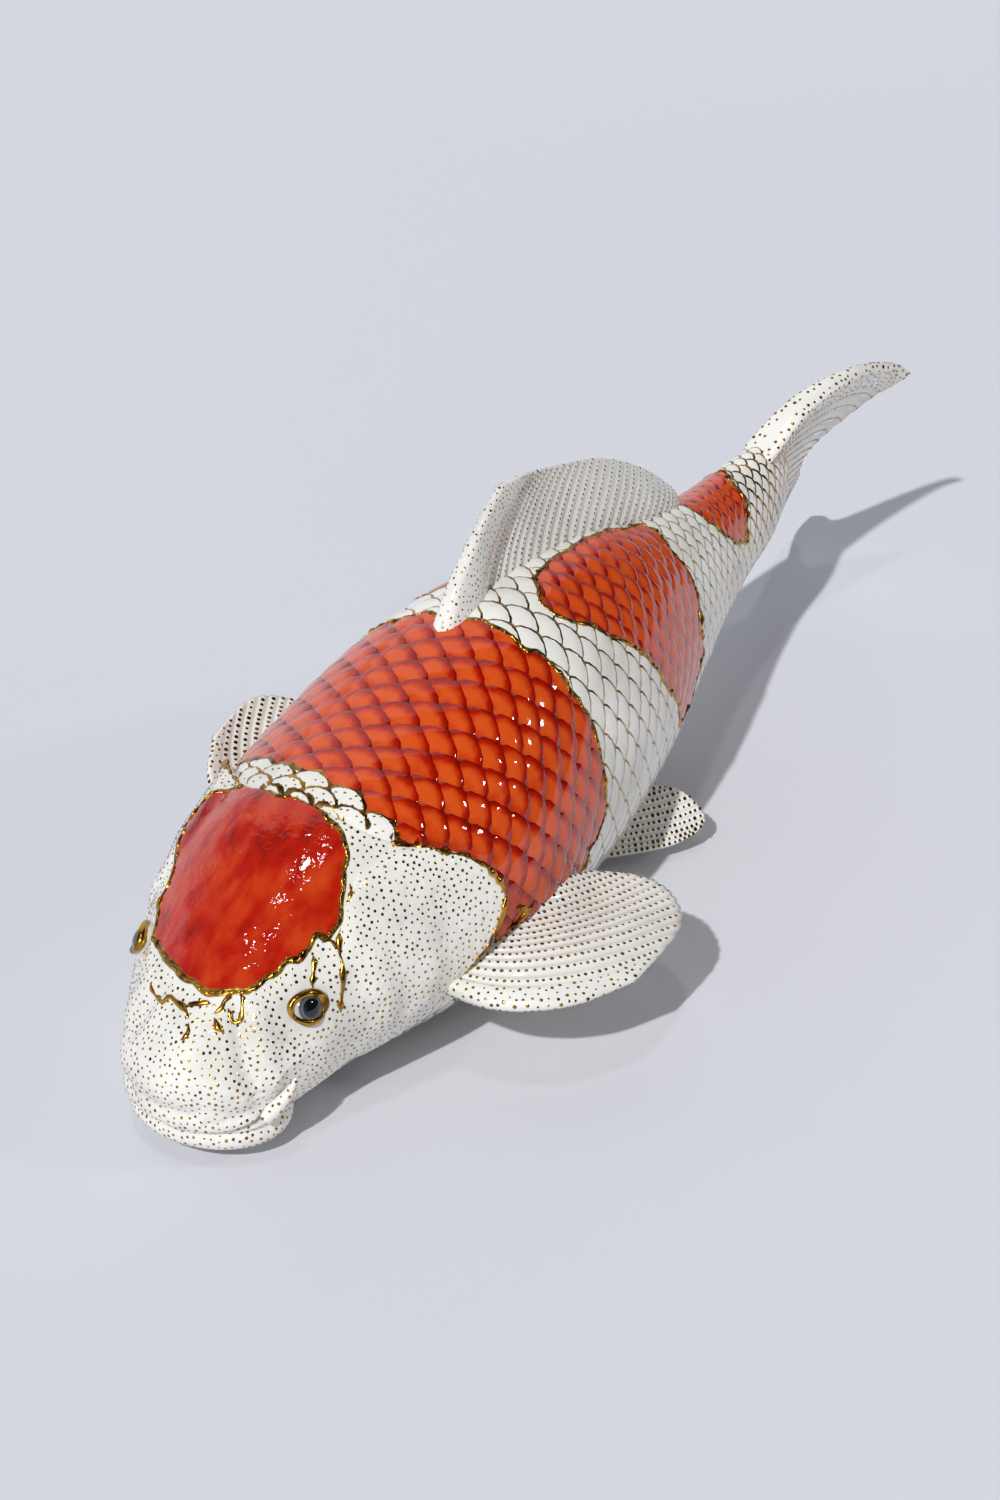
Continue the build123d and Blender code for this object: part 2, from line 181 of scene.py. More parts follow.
# painted shade: the deeper in a valley between the rays, the more the glaze is mixed toward grey
valleyShadePart = addNode(tree, "Math", {"operation": "MULTIPLY", 1: 0.3}, {0: valley})
valleyShadeTone = {"data_type": "RGBA", 7: glazes["finValleyShade"]}
tone = addNode(tree, "Mix", valleyShadeTone, {0: valleyShadePart, 6: whiteTone(tree)}, out=2)
glazed(tree, tone, cloud(tree, 5, 2), 0.3, settings={"Roughness": 0.16})

# Gold lustre fired over the glaze: soft metal gloss, brown where thin
goldLustre, tree = newMaterial("firedGoldLustre")
glazed(tree, goldTone(tree), cloud(tree, 2, 2), 0.2, 0.0, settings={"Metallic": 1.0, "Roughness": 0.24})

# Plain glazed stoneware for the trunk under the scales, the barbels and the foot: broad soft gloss
plainGlaze, tree = newMaterial("glazedStoneware")
glazed(tree, whiteTone(tree), cloud(tree, 8, 3), 0.4, settings={"Roughness": 0.16})

# Enamelled eye: white, a grey iris and a black pupil under thick clear glaze
eyeGlaze, tree = newMaterial("enamelledEye")
ring = addNode(tree, "Attribute", {"attribute_name": "eyeRing"}, out=2)
ringTone = addNode(tree, "ValToRGB", links={"Fac": ring}, stops=[
    (0.0, "#070809"), (0.3, "#101114"), (0.36, "#5C6066"), (0.43, "#24262A"), (0.5, "#B9BAB6"), (1.0, "#DADAD6")])
glazed(tree, ringTone, cloud(tree, 6, 2), 0.1, 0.5, settings={"Roughness": 0.1})


# Tools for shaping
castFrom = 200  # rays come in from this far outside the body
table = {"start": -200, "perMm": 2, "rows": 980}
bodyRows = [
    [float(np.interp(table["start"] + i / table["perMm"], backbone[:, 0], backbone[:, k])) for k in range(1, 5)]
    for i in range(table["rows"])]


def bodyAt(x):
    # the body's middle and half sizes at any x
    return bodyRows[min(max(int(round((x - table["start"]) * table["perMm"])), 0), table["rows"] - 1)]


def turnOf(p):
    # how far round the body a place is, in degrees: 0 is the ridge of the back, negative is the left side
    y, z, w, h = bodyAt(p[0])
    return math.degrees(math.atan2((p[1] - y) / w, (p[2] - z) / h))


def girth(x, turn):
    # the same as a distance round the body in millimetres
    w, h = bodyAt(x)[2:]
    return math.radians(turn) * (w + h) / 2


def turnAt(x, around):
    # a distance round the body back as a turn
    return math.degrees(2 * around / sum(bodyAt(x)[2:]))


def outward(x, turn):
    # the body's middle at x, and the way out from it at a turn
    y, z, w, h = bodyAt(x)
    t = math.radians(turn)
    return Vector((x, y, z)), Vector((0, w * math.sin(t), h * math.cos(t))).normalized()


def castIn(tree, middle, way):
    # the outermost hit on the way back in to a middle
    return tree.ray_cast(middle + way * castFrom, -way)


def merged(names):
    # one clean copy of CAD nodes, in millimetres
    bm = bmesh.new()
    for name in names:
        bm.from_mesh(nodes[name].data)
    bmesh.ops.remove_doubles(bm, verts=bm.verts, dist=0.01 * mm)
    bmesh.ops.scale(bm, vec=(1 / mm, 1 / mm, 1 / mm), verts=bm.verts)
    return bm


def meshFrom(bm, name):
    mesh = bpy.data.meshes.new(name)
    bm.to_mesh(mesh)
    bm.free()
    return mesh


def weldSheet(bm, gap):
    bmesh.ops.remove_doubles(bm, verts=bm.verts, dist=gap)
    bmesh.ops.recalc_face_normals(bm, faces=bm.faces)


def smoothOver(bm, verts, passes):
    for _ in range(passes):
        bmesh.ops.smooth_vert(bm, verts=verts, factor=0.5, use_axis_x=True, use_axis_y=True, use_axis_z=True)


def gridSheet(along, across, place, values=()):
    # a grid whose points are put in place by a rule of two shares, which may also give named values
    bm = bmesh.new()
    bmesh.ops.create_grid(bm, x_segments=along, y_segments=across, size=1)
    layers = [bm.verts.layers.float.new(key) for key in values]
    for v in bm.verts:
        found = place((v.co.x + 1) / 2, (v.co.y + 1) / 2)
        if values:
            found, numbers = found
            for layer, number in zip(layers, numbers):
                v[layer] = number
        v.co = found
    return bm


def addPiece(name, bm, material, replaced=(), weld=0.02):
    if weld:
        weldSheet(bm, weld)
    bmesh.ops.scale(bm, vec=(mm, mm, mm), verts=bm.verts)
    for f in bm.faces:
        f.smooth = True
    mesh = meshFrom(bm, name)
    mesh.materials.append(material)
    piece = bpy.data.objects.new(name, mesh)
    scene.collection.objects.link(piece)
    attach(piece, "root")
    if replaced:
        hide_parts(*replaced)
    print(name, sum(len(p.vertices) - 2 for p in mesh.polygons), "triangles")


def spline(p0, p1, p2, p3, t):
    # a place between the two middle points of four that a smooth curve runs through
    bend = (2 * p0 - 5 * p1 + 4 * p2 - p3) * t * t
    return 0.5 * (2 * p1 + (p2 - p0) * t + bend + (3 * p1 - 3 * p2 + p3 - p0) * t ** 3)


def curveThrough(points, share):
    # a smooth run through a few points
    points = [Vector(p) for p in points]
    spot = share * (len(points) - 1)
    i = min(int(spot), len(points) - 2)
    before = points[i - 1] if i else points[i] * 2 - points[i + 1]
    after = points[i + 2] if i + 2 < len(points) else points[i + 1] * 2 - points[i]
    return spline(before, points[i], points[i + 1], after, spot - i)


def patchDistance(outline, x, s):
    # distance into a closed outline, in millimetres: positive inside
    p = np.array((x, s))
    side = np.roll(outline, -1, 0) - outline
    t = np.clip(((p - outline) * side).sum(1) / (side * side).sum(1), 0, 1)
    gap = np.sqrt((((outline + side * t[:, None]) - p) ** 2).sum(1)).min()
    crossing = (outline[:, 1] > s) != (np.roll(outline, -1, 0)[:, 1] > s)
    where = outline[:, 0] + (s - outline[:, 1]) / np.where(crossing, side[:, 1], 1) * side[:, 0]
    return gap if (crossing & (x < where)).sum() % 2 else -gap


def closedOutline(points, waver, steps=9):
    # rounds a patch outline given as x and turn, and lets the brushed edge waver about every 7 mm
    flat = [Vector((x, girth(x, turn), 0)) for x, turn in points]
    ring = flat[-1:] + flat + flat[:2]
    drawn = []
    for i in range(len(points)):
        for k in range(steps):
            q = spline(*ring[i:i + 4], k / steps)
            shift = noise.noise_vector(q / 7) * waver
            drawn.append((q.x + shift.x, q.y + shift.y))
    return np.array(drawn)


def nearest(run, p):
    return float(np.sqrt(((run - np.array(p)) ** 2).sum(1)).min())


# Red patches as x and turn round the body, followed along their edges
patches = {
    "cap": [
        (-108, 53), (-95, 40), (-95, 21), (-101, 10), (-99, 0), (-100, -10), (-103, -24), (-108, -31),
        (-119, -40), (-124, -46), (-130, -48), (-134, -42), (-143, -42), (-148, -37), (-158, -33), (-166, -22),
        (-172, 0), (-169, 17), (-166, 31), (-159, 42), (-150, 48), (-132, 51), (-116, 52)],
    "shoulder": [
        (-72, 75), (-76, 50), (-82, 30), (-87, 14), (-90, -7), (-92, -25), (-88, -41), (-84, -51),
        (-72, -64), (-64, -73), (-62, -84), (-60, -100), (-30, -108), (0, -106), (10, -100), (22, -92),
        (21, -80), (23, -66), (20, -55), (17, -37), (10, -27), (9, -15), (3, 0), (2, 16),
        (0, 40), (6, 60), (-5, 82), (-25, 96), (-52, 98), (-66, 88)],
    "saddle": [
        (38, -17), (57, -6), (97, -5), (136, -8), (147, -14), (145, -27), (149, -60), (146, -85),
        (140, -98), (113, -107), (100, -90), (88, -76), (79, -63), (58, -43), (39, -27)],
    "farSaddle": [(28, 14), (50, 8), (80, 8), (104, 12), (112, 40), (100, 72), (66, 82), (38, 62), (26, 38)],
    "tailBand": [
        (188, 4), (191, -27), (208, -62), (223, -76), (231, -61), (235, -42), (234, -18), (238, 8),
        (234, 40), (222, 66), (204, 52), (193, 28)],
}
edgeWaver = {"cap": 1.6, "trunk": 2.4}
outlines = {name: closedOutline(points, edgeWaver.get(name, edgeWaver["trunk"])) for name, points in patches.items()}
trunkPatches = [outline for name, outline in outlines.items() if name != "cap"]

# Rear edge of the gill covers and of the nape, as x against turn
headEdge = {
    "turns": [0, 12, 24, 32, 38, 45, 51, 61, 69, 74, 79, 84, 90, 94, 101, 111, 118, 122, 135, 180],
    "places": [
        -99, -99, -97, -94, -90, -84, -78.5, -68.5, -63.5, -61.5, -61, -63.5, -68, -72.7, -82.7, -96.5,
        -105, -111, -117, -119],
}


def headEdgeAt(turn):
    return float(np.interp(abs(turn), headEdge["turns"], headEdge["places"]))


def capGapAt(p):
    return patchDistance(outlines["cap"], p.x, girth(p.x, turnOf(p)))


# Trunk skin: it lies a little inside the scales, dives under the head and closes inside the tail
trunk = {
    "start": -112.0, "end": 287.0, "rows": 200, "around": 144, "evenings": 3, "sheet": (180, 120),
    "inset": 0.9, "foot": 0.3, "dive": 3.5, "diveOver": 6, "closeFrom": 0.995, "closeTo": 0.02,
}
bodyTree = BVHTree.FromBMesh(merged(["body_shell"]))
headTree = BVHTree.FromBMesh(merged(["body_shell", "gill_cover_left", "gill_cover_right", "eye_left", "eye_right"]))


def reachOf(x, turn):
    # how far the CAD body reaches out from its middle
    middle, way = outward(x, turn)
    hit = castIn(bodyTree, middle, way)[0]
    return (hit - middle).length if hit else 0.0


rowPlaces = np.linspace(trunk["start"], trunk["end"], trunk["rows"])
turnPlaces = np.linspace(-180, 180, trunk["around"] + 1)
reach = np.array([[reachOf(x, t) for t in turnPlaces] for x in rowPlaces])
for _ in range(trunk["evenings"]):
    reach[1:-1] = (reach[:-2] + 2 * reach[1:-1] + reach[2:]) / 4
    reach[:, 1:-1] = (reach[:, :-2] + 2 * reach[:, 1:-1] + reach[:, 2:]) / 4
reachRows = reach.tolist()


def skinPoint(x, turn):
    # a place on the smooth trunk skin
    turn = (turn + 180) % 360 - 180
    i = min(max((x - trunk["start"]) / (trunk["end"] - trunk["start"]), 0), 1) * (trunk["rows"] - 1)
    j = (turn + 180) / 360 * trunk["around"]
    i0, j0 = min(int(i), trunk["rows"] - 2), min(int(j), trunk["around"] - 1)
    a, b = i - i0, j - j0
    low, high = reachRows[i0], reachRows[i0 + 1]
    r = (low[j0] * (1 - a) + high[j0] * a) * (1 - b) + (low[j0 + 1] * (1 - a) + high[j0 + 1] * a) * b
    middle, way = outward(x, turn)
    return middle + way * r


def skinNormal(x, turn, probe=3):
    along = skinPoint(x + probe, turn) - skinPoint(x - probe, turn)
    around = skinPoint(x, turn + probe) - skinPoint(x, turn - probe)
    return along.cross(around).normalized()


def trunkPlace(u, w):
    x = trunk["start"] + u * (trunk["end"] - trunk["start"])
    turn = w * 360 - 180
    middle, way = outward(x, turn)
    underHead = min(1, max(0, (headEdgeAt(turn) - x) / trunk["diveOver"]))
    p = skinPoint(x, turn) - way * (trunk["inset"] + trunk["dive"] * underHead)
    if u > trunk["closeFrom"]:
        p = middle + (p - middle) * trunk["closeTo"]
    p.z = max(p.z, trunk["foot"])
    return p


addPiece("trunkSkin", gridSheet(*trunk["sheet"], trunkPlace), plainGlaze, ["body_shell"])

# Scales: each is a small domed sheet whose root slips under the ones before it and whose tip stands proud
# Widths are given along x. Heights are for a scale of the reference width and grow with it.
scales = {
    "first": -102.0, "last": 284.0, "widthPlaces": [-104, -84, 20, 150, 290], "widths": [14.0, 19.0, 19.5, 14.5, 9.5],
    "stepShare": 0.325, "tipShare": 0.5, "rootShare": 0.55, "spread": 0.56, "rootSpread": 0.8, "tipPower": 1.2,
    "reference": 13, "rise": 1.3, "dome": 0.85, "jitter": 0.06, "root": 0.6, "lipDrop": 0.12, "tuck": 0.7,
    "rim": 1.75, "napeRim": 2.3, "napeEnd": -91.0, "napeTurn": 52, "lowest": 5.0, "headGap": 4,
    "long": 6, "broad": 8, "rowShares": [0.0, 0.4, 0.68, 0.86, 0.95, 1.0, 1.0], "seed": 7,
}
sideNames = {-1: "left", 1: "right"}
napeScales = {"left": set(), "right": set()}


def arcLengths(x, turns):
    # distance round the body from the ridge of the back, down the left side and down the right
    tables = {}
    for side in sideNames:
        ring = [skinPoint(x, side * t) for t in turns]
        tables[side] = np.cumsum([0] + [(b - a).length for a, b in zip(ring, ring[1:])])
    return tables


def patchGap(p):
    # distance into the nearest red patch of the trunk
    s = girth(p[0], turnOf(p))
    return max(patchDistance(outline, p[0], s) for outline in trunkPatches)


def shapeScale(verts, shares, layers, x, turn, wide, perDegree, inside, rim, jitter):
    # puts the points of one scale in place, with the values that its glaze reads
    edgeLayer, rimLayer, patchLayer, crownLayer = layers
    growth = wide / scales["reference"]
    lift = scales["rise"] * wide / scales["reference"] * jitter
    for v, (u, q) in zip(verts, shares):
        level = min(int(round(u * scales["long"])), scales["long"])
        along = scales["rowShares"][level]
        phi = q * math.pi / 2
        frontX = -scales["rootShare"] * wide
        frontSide = math.sin(phi) * scales["spread"] * wide * scales["rootSpread"]
        rearX = scales["tipShare"] * wide * math.cos(phi) ** scales["tipPower"] if abs(q) < 1 else 0.0
        rearSide = math.sin(phi) * scales["spread"] * wide
        a = frontX + (rearX - frontX) * along
        b = frontSide + (rearSide - frontSide) * along
        dome = math.cos(phi) * math.sin(math.pi * min(along, 0.98) ** 1.5)
        up = -scales["root"] + (lift + scales["root"]) * along ** 0.8 + scales["dome"] * growth * dome
        if level == scales["long"] - 1:
            up -= scales["lipDrop"] * lift
        if level == scales["long"]:
            up = -scales["tuck"]
        if up > 0:
            up *= 1 - 0.55 * abs(q) ** 3
        placeX, placeTurn = x + a, turn + b / perDegree
        # the roots of the first rows slip under the head
        up = min(up, (placeX - headEdgeAt(placeTurn)) * 1.2 - scales["root"])
        p = skinPoint(min(placeX, trunk["end"]), placeTurn)
        p = p + skinNormal(min(placeX, trunk["end"] - 1), placeTurn) * up
        p.z = max(p.z, trunk["foot"])
        v.co = p
        v[edgeLayer] = (1 - along) * (rearX - frontX) * 0.9
        v[rimLayer] = rim
        v[patchLayer] = inside if abs(inside) > wide * 1.6 else patchGap(p)
        v[crownLayer] = max(0, dome) * (0.55 + 0.45 * jitter)


def scaleSurface():
    template = bmesh.new()
    bmesh.ops.create_grid(template, x_segments=scales["long"], y_segments=scales["broad"], size=1)
    shares = [((v.co.x + 1) / 2, v.co.y) for v in template.verts]
    blank = meshFrom(template, "scaleBlank")
    rng = random.Random(scales["seed"])
    sheets = {name: bmesh.new() for name in sideNames.values()}
    values = ("edgeGap", "rimWidth", "patchGap", "crown")
    layers = {name: [sheet.verts.layers.float.new(key) for key in values] for name, sheet in sheets.items()}
    count = {name: 0 for name in sheets}
    turns = np.linspace(0, 180, 37)
    x = scales["first"]
    row = 0
    while x < scales["last"]:
        wide = float(np.interp(x, scales["widthPlaces"], scales["widths"]))
        for side, lengths in arcLengths(x, turns).items():
            name, sheet = sideNames[side], sheets[sideNames[side]]
            # every second row is moved by half a scale, to the left on both sides
            shift = -0.5 * side if row % 2 else 0
            for j in range(0 if side < 0 else 1, int(lengths[-1] / wide) + 1):
                turn = side * float(np.interp((j + shift) * wide, lengths, turns))
                if skinPoint(x, turn).z < scales["lowest"] or x < headEdgeAt(turn) - scales["headGap"]:
                    continue
                flat = girth(x, turn)
                inside = max(patchDistance(outline, x, flat) for outline in trunkPatches)
                rim = scales["rim"] if inside < wide * 0.3 else 0.0
                if x < scales["napeEnd"] and abs(turn) < scales["napeTurn"]:
                    # the nape is all white, whatever patch is near
                    inside, rim = -wide * 2, scales["napeRim"]
                    napeScales[name].add(count[name])
                jitter = 1 + scales["jitter"] * (rng.random() - 0.5)
                start = len(sheet.verts)
                sheet.from_mesh(blank)
                sheet.verts.ensure_lookup_table()
                perDegree = lengths[-1] / 180
                shapeScale(sheet.verts[start:], shares, layers[name], x, turn, wide, perDegree, inside, rim, jitter)
                count[name] += 1
        x += wide * scales["stepShare"]
        row += 1
    print("scales", count)
    return sheets


scaleSheets = scaleSurface()
scaleTrees = {sideName: BVHTree.FromBMesh(sheet) for sideName, sheet in scaleSheets.items()}
for sideName, sheet in scaleSheets.items():
    addPiece(f"scales_{sideName}", sheet, scaleGlaze, weld=0)

# Head: drawn outward from the hub over the face as far as fanStart, then straight out as the trunk is
head = {
    "mouth": (-197.0, -22.0, 17.0), "hub": (-150.0, -7.0, 40.0), "fanStart": -150.0, "fanShare": 0.52,
    "rows": 128, "around": 240, "rimFrom": 0.94, "rimShare": 0.06, "rimOut": 0.8, "rimDeep": 5.5, "settle": 25,
    "evenFrom": -64, "evenings": 2,
}
hub = Vector(head["hub"])
snoutWay = (Vector(head["mouth"]) - hub).normalized()


def mirrorHead(p):
    # the same place on the other cheek, moved a little because the mouth is turned to the fish's left
    y = bodyAt(p[0])[0]
    shift = 0.12 * min(1, max(0, (head["fanStart"] - p[0]) / 12))
    return Vector((p[0] - shift * abs(y - p[1]), 2 * y - p[1], p[2]))


# Folds of the face: height of the fold, its width, then places it runs through
folds = [
    (-2.2, 3.0, [(-170, -24, 62), (-176, -30, 52), (-179, -36, 42), (-178, -40, 30), (-175, -41, 24)]),
    (1.6, 4.5, [(-166, -32, 62), (-170, -38, 52), (-171, -42, 42), (-168, -44, 34)]),
    (2.0, 7.0, [(-184, -18, 52), (-188, -14, 45), (-186, -28, 42)]),
    (-1.2, 3.5, [(-160, -42, 52), (-150, -50, 44), (-140, -53, 38)]),
    (1.6, 3.5, [(-161, -38, 66), (-153, -42, 71), (-143, -44, 72), (-134, -46, 68)]),
    (1.3, 5.0, [(-128, -52, 66), (-122, -56, 54), (-120, -57, 42)]),
    (-1.0, 4.0, [(-116, -53, 76), (-112, -58, 60), (-112, -58, 44)]),
    (1.2, 5.0, [(-100, -60, 74), (-98, -64, 60), (-102, -60, 44)]),
]
folds = folds + [(rise, wide, [mirrorHead(p) for p in run]) for rise, wide, run in folds]
foldPoints = np.array([[tuple(curveThrough(run, k / 12)) for k in range(13)] for _, _, run in folds])
foldHeights = np.array([fold[0] for fold in folds])
foldWidths = np.array([fold[1] for fold in folds])

# The slit of the mouth: a groove that runs round between the lips, darkened along a line of its own width with painted
# shade
mouth = {
    "run": [
        (-172, -42, 23), (-180, -39, 20), (-188, -31, 17), (-195, -18, 15.5), (-196, -6, 16), (-191, 8, 17),
        (-184, 15, 20), (-174, 20, 24)],
    "deep": 3.6, "wide": 1.7, "lineWide": 1.3,
}
slitRun = np.array([tuple(curveThrough(mouth["run"], k / 40)) for k in range(41)])

# Where the barbels are let into the cheeks the skin is drawn over smooth
slots = {
    "runs": [
        [(-160, -43.7, 29), (-151, -46.6, 32), (-142, -49, 36)],
        [(-170, 25.5, 28), (-161, 32, 32), (-152, 37, 36)]],
    "reach": 12.5, "bridge": 10.5, "passes": 120,
}
slotPoints = np.array([curveThrough(run, k / 5) for run in slots["runs"] for k in range(6)])


def slotGap(middle, way):
    # how near the way out from the head's middle passes to those places, and how far out the nearest is
    away = slotPoints - np.array(middle)
    ahead = away @ np.array(way)
    gaps = np.sqrt(np.maximum((away ** 2).sum(1) - ahead ** 2, 0))
    gaps = np.where(ahead > 0, gaps, 99)
    return float(gaps.min()), float(ahead[gaps.argmin()])


def headRay(u, turn):
    # the middle and the way out for one row of the head, and how far the row is into the turned-in rim
    if u < head["fanShare"]:
        lean = (1 - u / head["fanShare"]) * math.pi / 2
        side = outward(head["fanStart"], turn)[1]
        return hub, (side * math.cos(lean) + snoutWay * math.sin(lean)).normalized(), 0.0
    share = (u - head["fanShare"]) / (1 - head["fanShare"])
    rim = max(0, (share - head["rimFrom"]) / head["rimShare"])
    x = head["fanStart"] + (headEdgeAt(turn) - head["fanStart"]) * min(share / head["rimFrom"], 1)
    middle, way = outward(x, turn)
    settle = min(1, (x - head["fanStart"]) / head["settle"])
    middle = middle * settle + hub * (1 - settle)
    middle.x = x
    return middle, way, rim


def headPlace(u, w):
    middle, way, rim = headRay(u, w * 360 - 180)
    p = castIn(headTree, middle, way)[0] or middle + way * 30
    overSlot, away = slotGap(middle, way)
    if overSlot < slots["bridge"]:
        p = middle + way * away
    if rim:
        p = p + Vector((head["rimOut"] * math.sin(rim * math.pi), 0, 0)) - way * (head["rimDeep"] * rim)
    slitShade = 0.0
    if p.x < -90:
        gaps = np.sqrt(((foldPoints - np.array(p)) ** 2).sum(2)).min(1)
        rise = float((foldHeights * np.exp(-(gaps / foldWidths) ** 2)).sum())
        gap = nearest(slitRun, p)
        # how near the groove of the mouth is, for the line of painted shade along it
        slitShade = math.exp(-(gap / mouth["lineWide"]) ** 2)
        rise -= mouth["deep"] * math.exp(-(gap / mouth["wide"]) ** 2)
        p = p + way * rise
    p.z = max(p.z, trunk["foot"])
    return p, (capGapAt(p), slitShade, overSlot)


headSheet = gridSheet(head["rows"], head["around"], headPlace, ["capDistance", "slitShade", "slotGap"])
bmesh.ops.remove_doubles(headSheet, verts=headSheet.verts, dist=0.02)
slotLayer = headSheet.verts.layers.float["slotGap"]
smoothOver(headSheet, [v for v in headSheet.verts if v[slotLayer] < slots["reach"]], slots["passes"])
smoothOver(headSheet, [v for v in headSheet.verts if v.co.x < head["evenFrom"] and v.co.z > 1], head["evenings"])
bmesh.ops.recalc_face_normals(headSheet, faces=headSheet.faces)
skinTree = BVHTree.FromBMesh(headSheet)
headFaces = [(f.calc_area(), [v.co.copy() for v in f.verts], f.normal.copy()) for f in headSheet.faces]
addPiece("headSkin", headSheet, headGlaze, ["gill_cover_left", "gill_cover_right"])

# Eyes, and lids as almond rings of gold that are pointed before and behind
eyes = {
    "left": {"centre": (-149.3, -38.9, 58.2), "look": (-0.25, -0.88, 0.40)},
    "right": {"centre": (-150.8, 32.8, 59.5), "look": (-0.35, 0.86, 0.40)},
}
eyeball = {"radius": 7.7, "segments": 32, "rings": 20, "tilt": (0.25, 0, 1)}
lid = {"sheet": (48, 10), "long": 6.9, "tall": 5.5, "point": 0.10, "sunk": 3.2, "hug": 0.6, "proud": 0.3, "thick": 1.35}
eyeCentres = []


def lidSheet(centre, look):
    tilt = Vector(eyeball["tilt"])
    upWay = (tilt - look * look.dot(tilt)).normalized()
    sideWay = upWay.cross(look).normalized()
    radius = eyeball["radius"]

    def place(u, w):
        a, b = u * 2 * math.pi, w * 2 * math.pi
        x, y = lid["long"] * math.cos(a) * (1 + lid["point"] * math.cos(a) ** 2), lid["tall"] * math.sin(a)
        ringWay = (sideWay * x + upWay * y).normalized()
        out = math.sqrt(max(radius ** 2 - min(x * x + y * y, 50), 0)) - (radius - lid["sunk"])
        # the ring is hand-laid: thicker at the brow and a little uneven
        thick = lid["thick"] + 0.25 * math.sin(3 * a) + 0.7 * max(0, math.sin(a + 0.6))
        centreLine = centre + sideWay * x + upWay * y + look * (out * lid["hug"] + lid["proud"])
        return centreLine + ringWay * thick * math.cos(b) + look * thick * math.sin(b)
    return gridSheet(*lid["sheet"], place)


for sideName, eye in eyes.items():
    look, middle, radius = Vector(eye["look"]).normalized(), Vector(eye["centre"]), eyeball["radius"]
    eyeCentres.append(middle + look * (radius - lid["sunk"]))
    bm = bmesh.new()
    bmesh.ops.create_uvsphere(bm, u_segments=eyeball["segments"], v_segments=eyeball["rings"], radius=radius)
    layer = bm.verts.layers.float.new("eyeRing")
    for v in bm.verts:
        v[layer] = math.acos(max(-1, min(1, v.co.z / radius))) / (math.pi / 2) if v.co.z > 0 else 1.0
    turnQuat = Vector((0, 0, 1)).rotation_difference(look)
    bmesh.ops.transform(bm, matrix=turnQuat.to_matrix().to_4x4(), verts=bm.verts)
    bmesh.ops.translate(bm, vec=middle, verts=bm.verts)
    addPiece(f"eyeball_{sideName}", bm, eyeGlaze, [f"eye_{sideName}"])
    addPiece(f"lid_{sideName}", lidSheet(eyeCentres[-1], look), goldLustre, [f"eyelid_{sideName}"])

# Barbels
barbels = {
    "left": [(-174, -38, 20), (-170, -41, 24.5), (-166.5, -44.5, 30.5), (-163.5, -46.8, 37.5)],
    "radii": [3.0, 3.4, 2.2, 0.5], "sheet": (24, 10),
}
barbels["right"] = [mirrorHead(p) for p in barbels["left"]]


def barbelSheet(run):
    # a closed run with rounded ends along a few points
    radii = barbels["radii"]
    places = np.linspace(0, 1, len(radii))

    def place(u, w):
        p = curveThrough(run, u)
        ahead = (curveThrough(run, min(u + 0.02, 1)) - curveThrough(run, max(u - 0.02, 0))).normalized()
        side = ahead.orthogonal().normalized()
        up = ahead.cross(side)
        a = w * 2 * math.pi
        roundEnd = math.sqrt(max(0.0, 1 - (max(0, abs(2 * u - 1) - 0.9) / 0.1) ** 2))
        r = float(np.interp(u, places, radii)) * roundEnd
        return p + side * r * math.cos(a) + up * r * math.sin(a)
    return gridSheet(*barbels["sheet"], place)


for sideName in ("left", "right"):
    tube = barbelSheet(barbels[sideName])
    weldSheet(tube, 0.02)
    headFaces += [(f.calc_area(), [v.co.copy() for v in f.verts], f.normal.copy()) for f in tube.faces]
    addPiece(f"barbelTube_{sideName}", tube, plainGlaze, [f"barbel_{sideName}"])

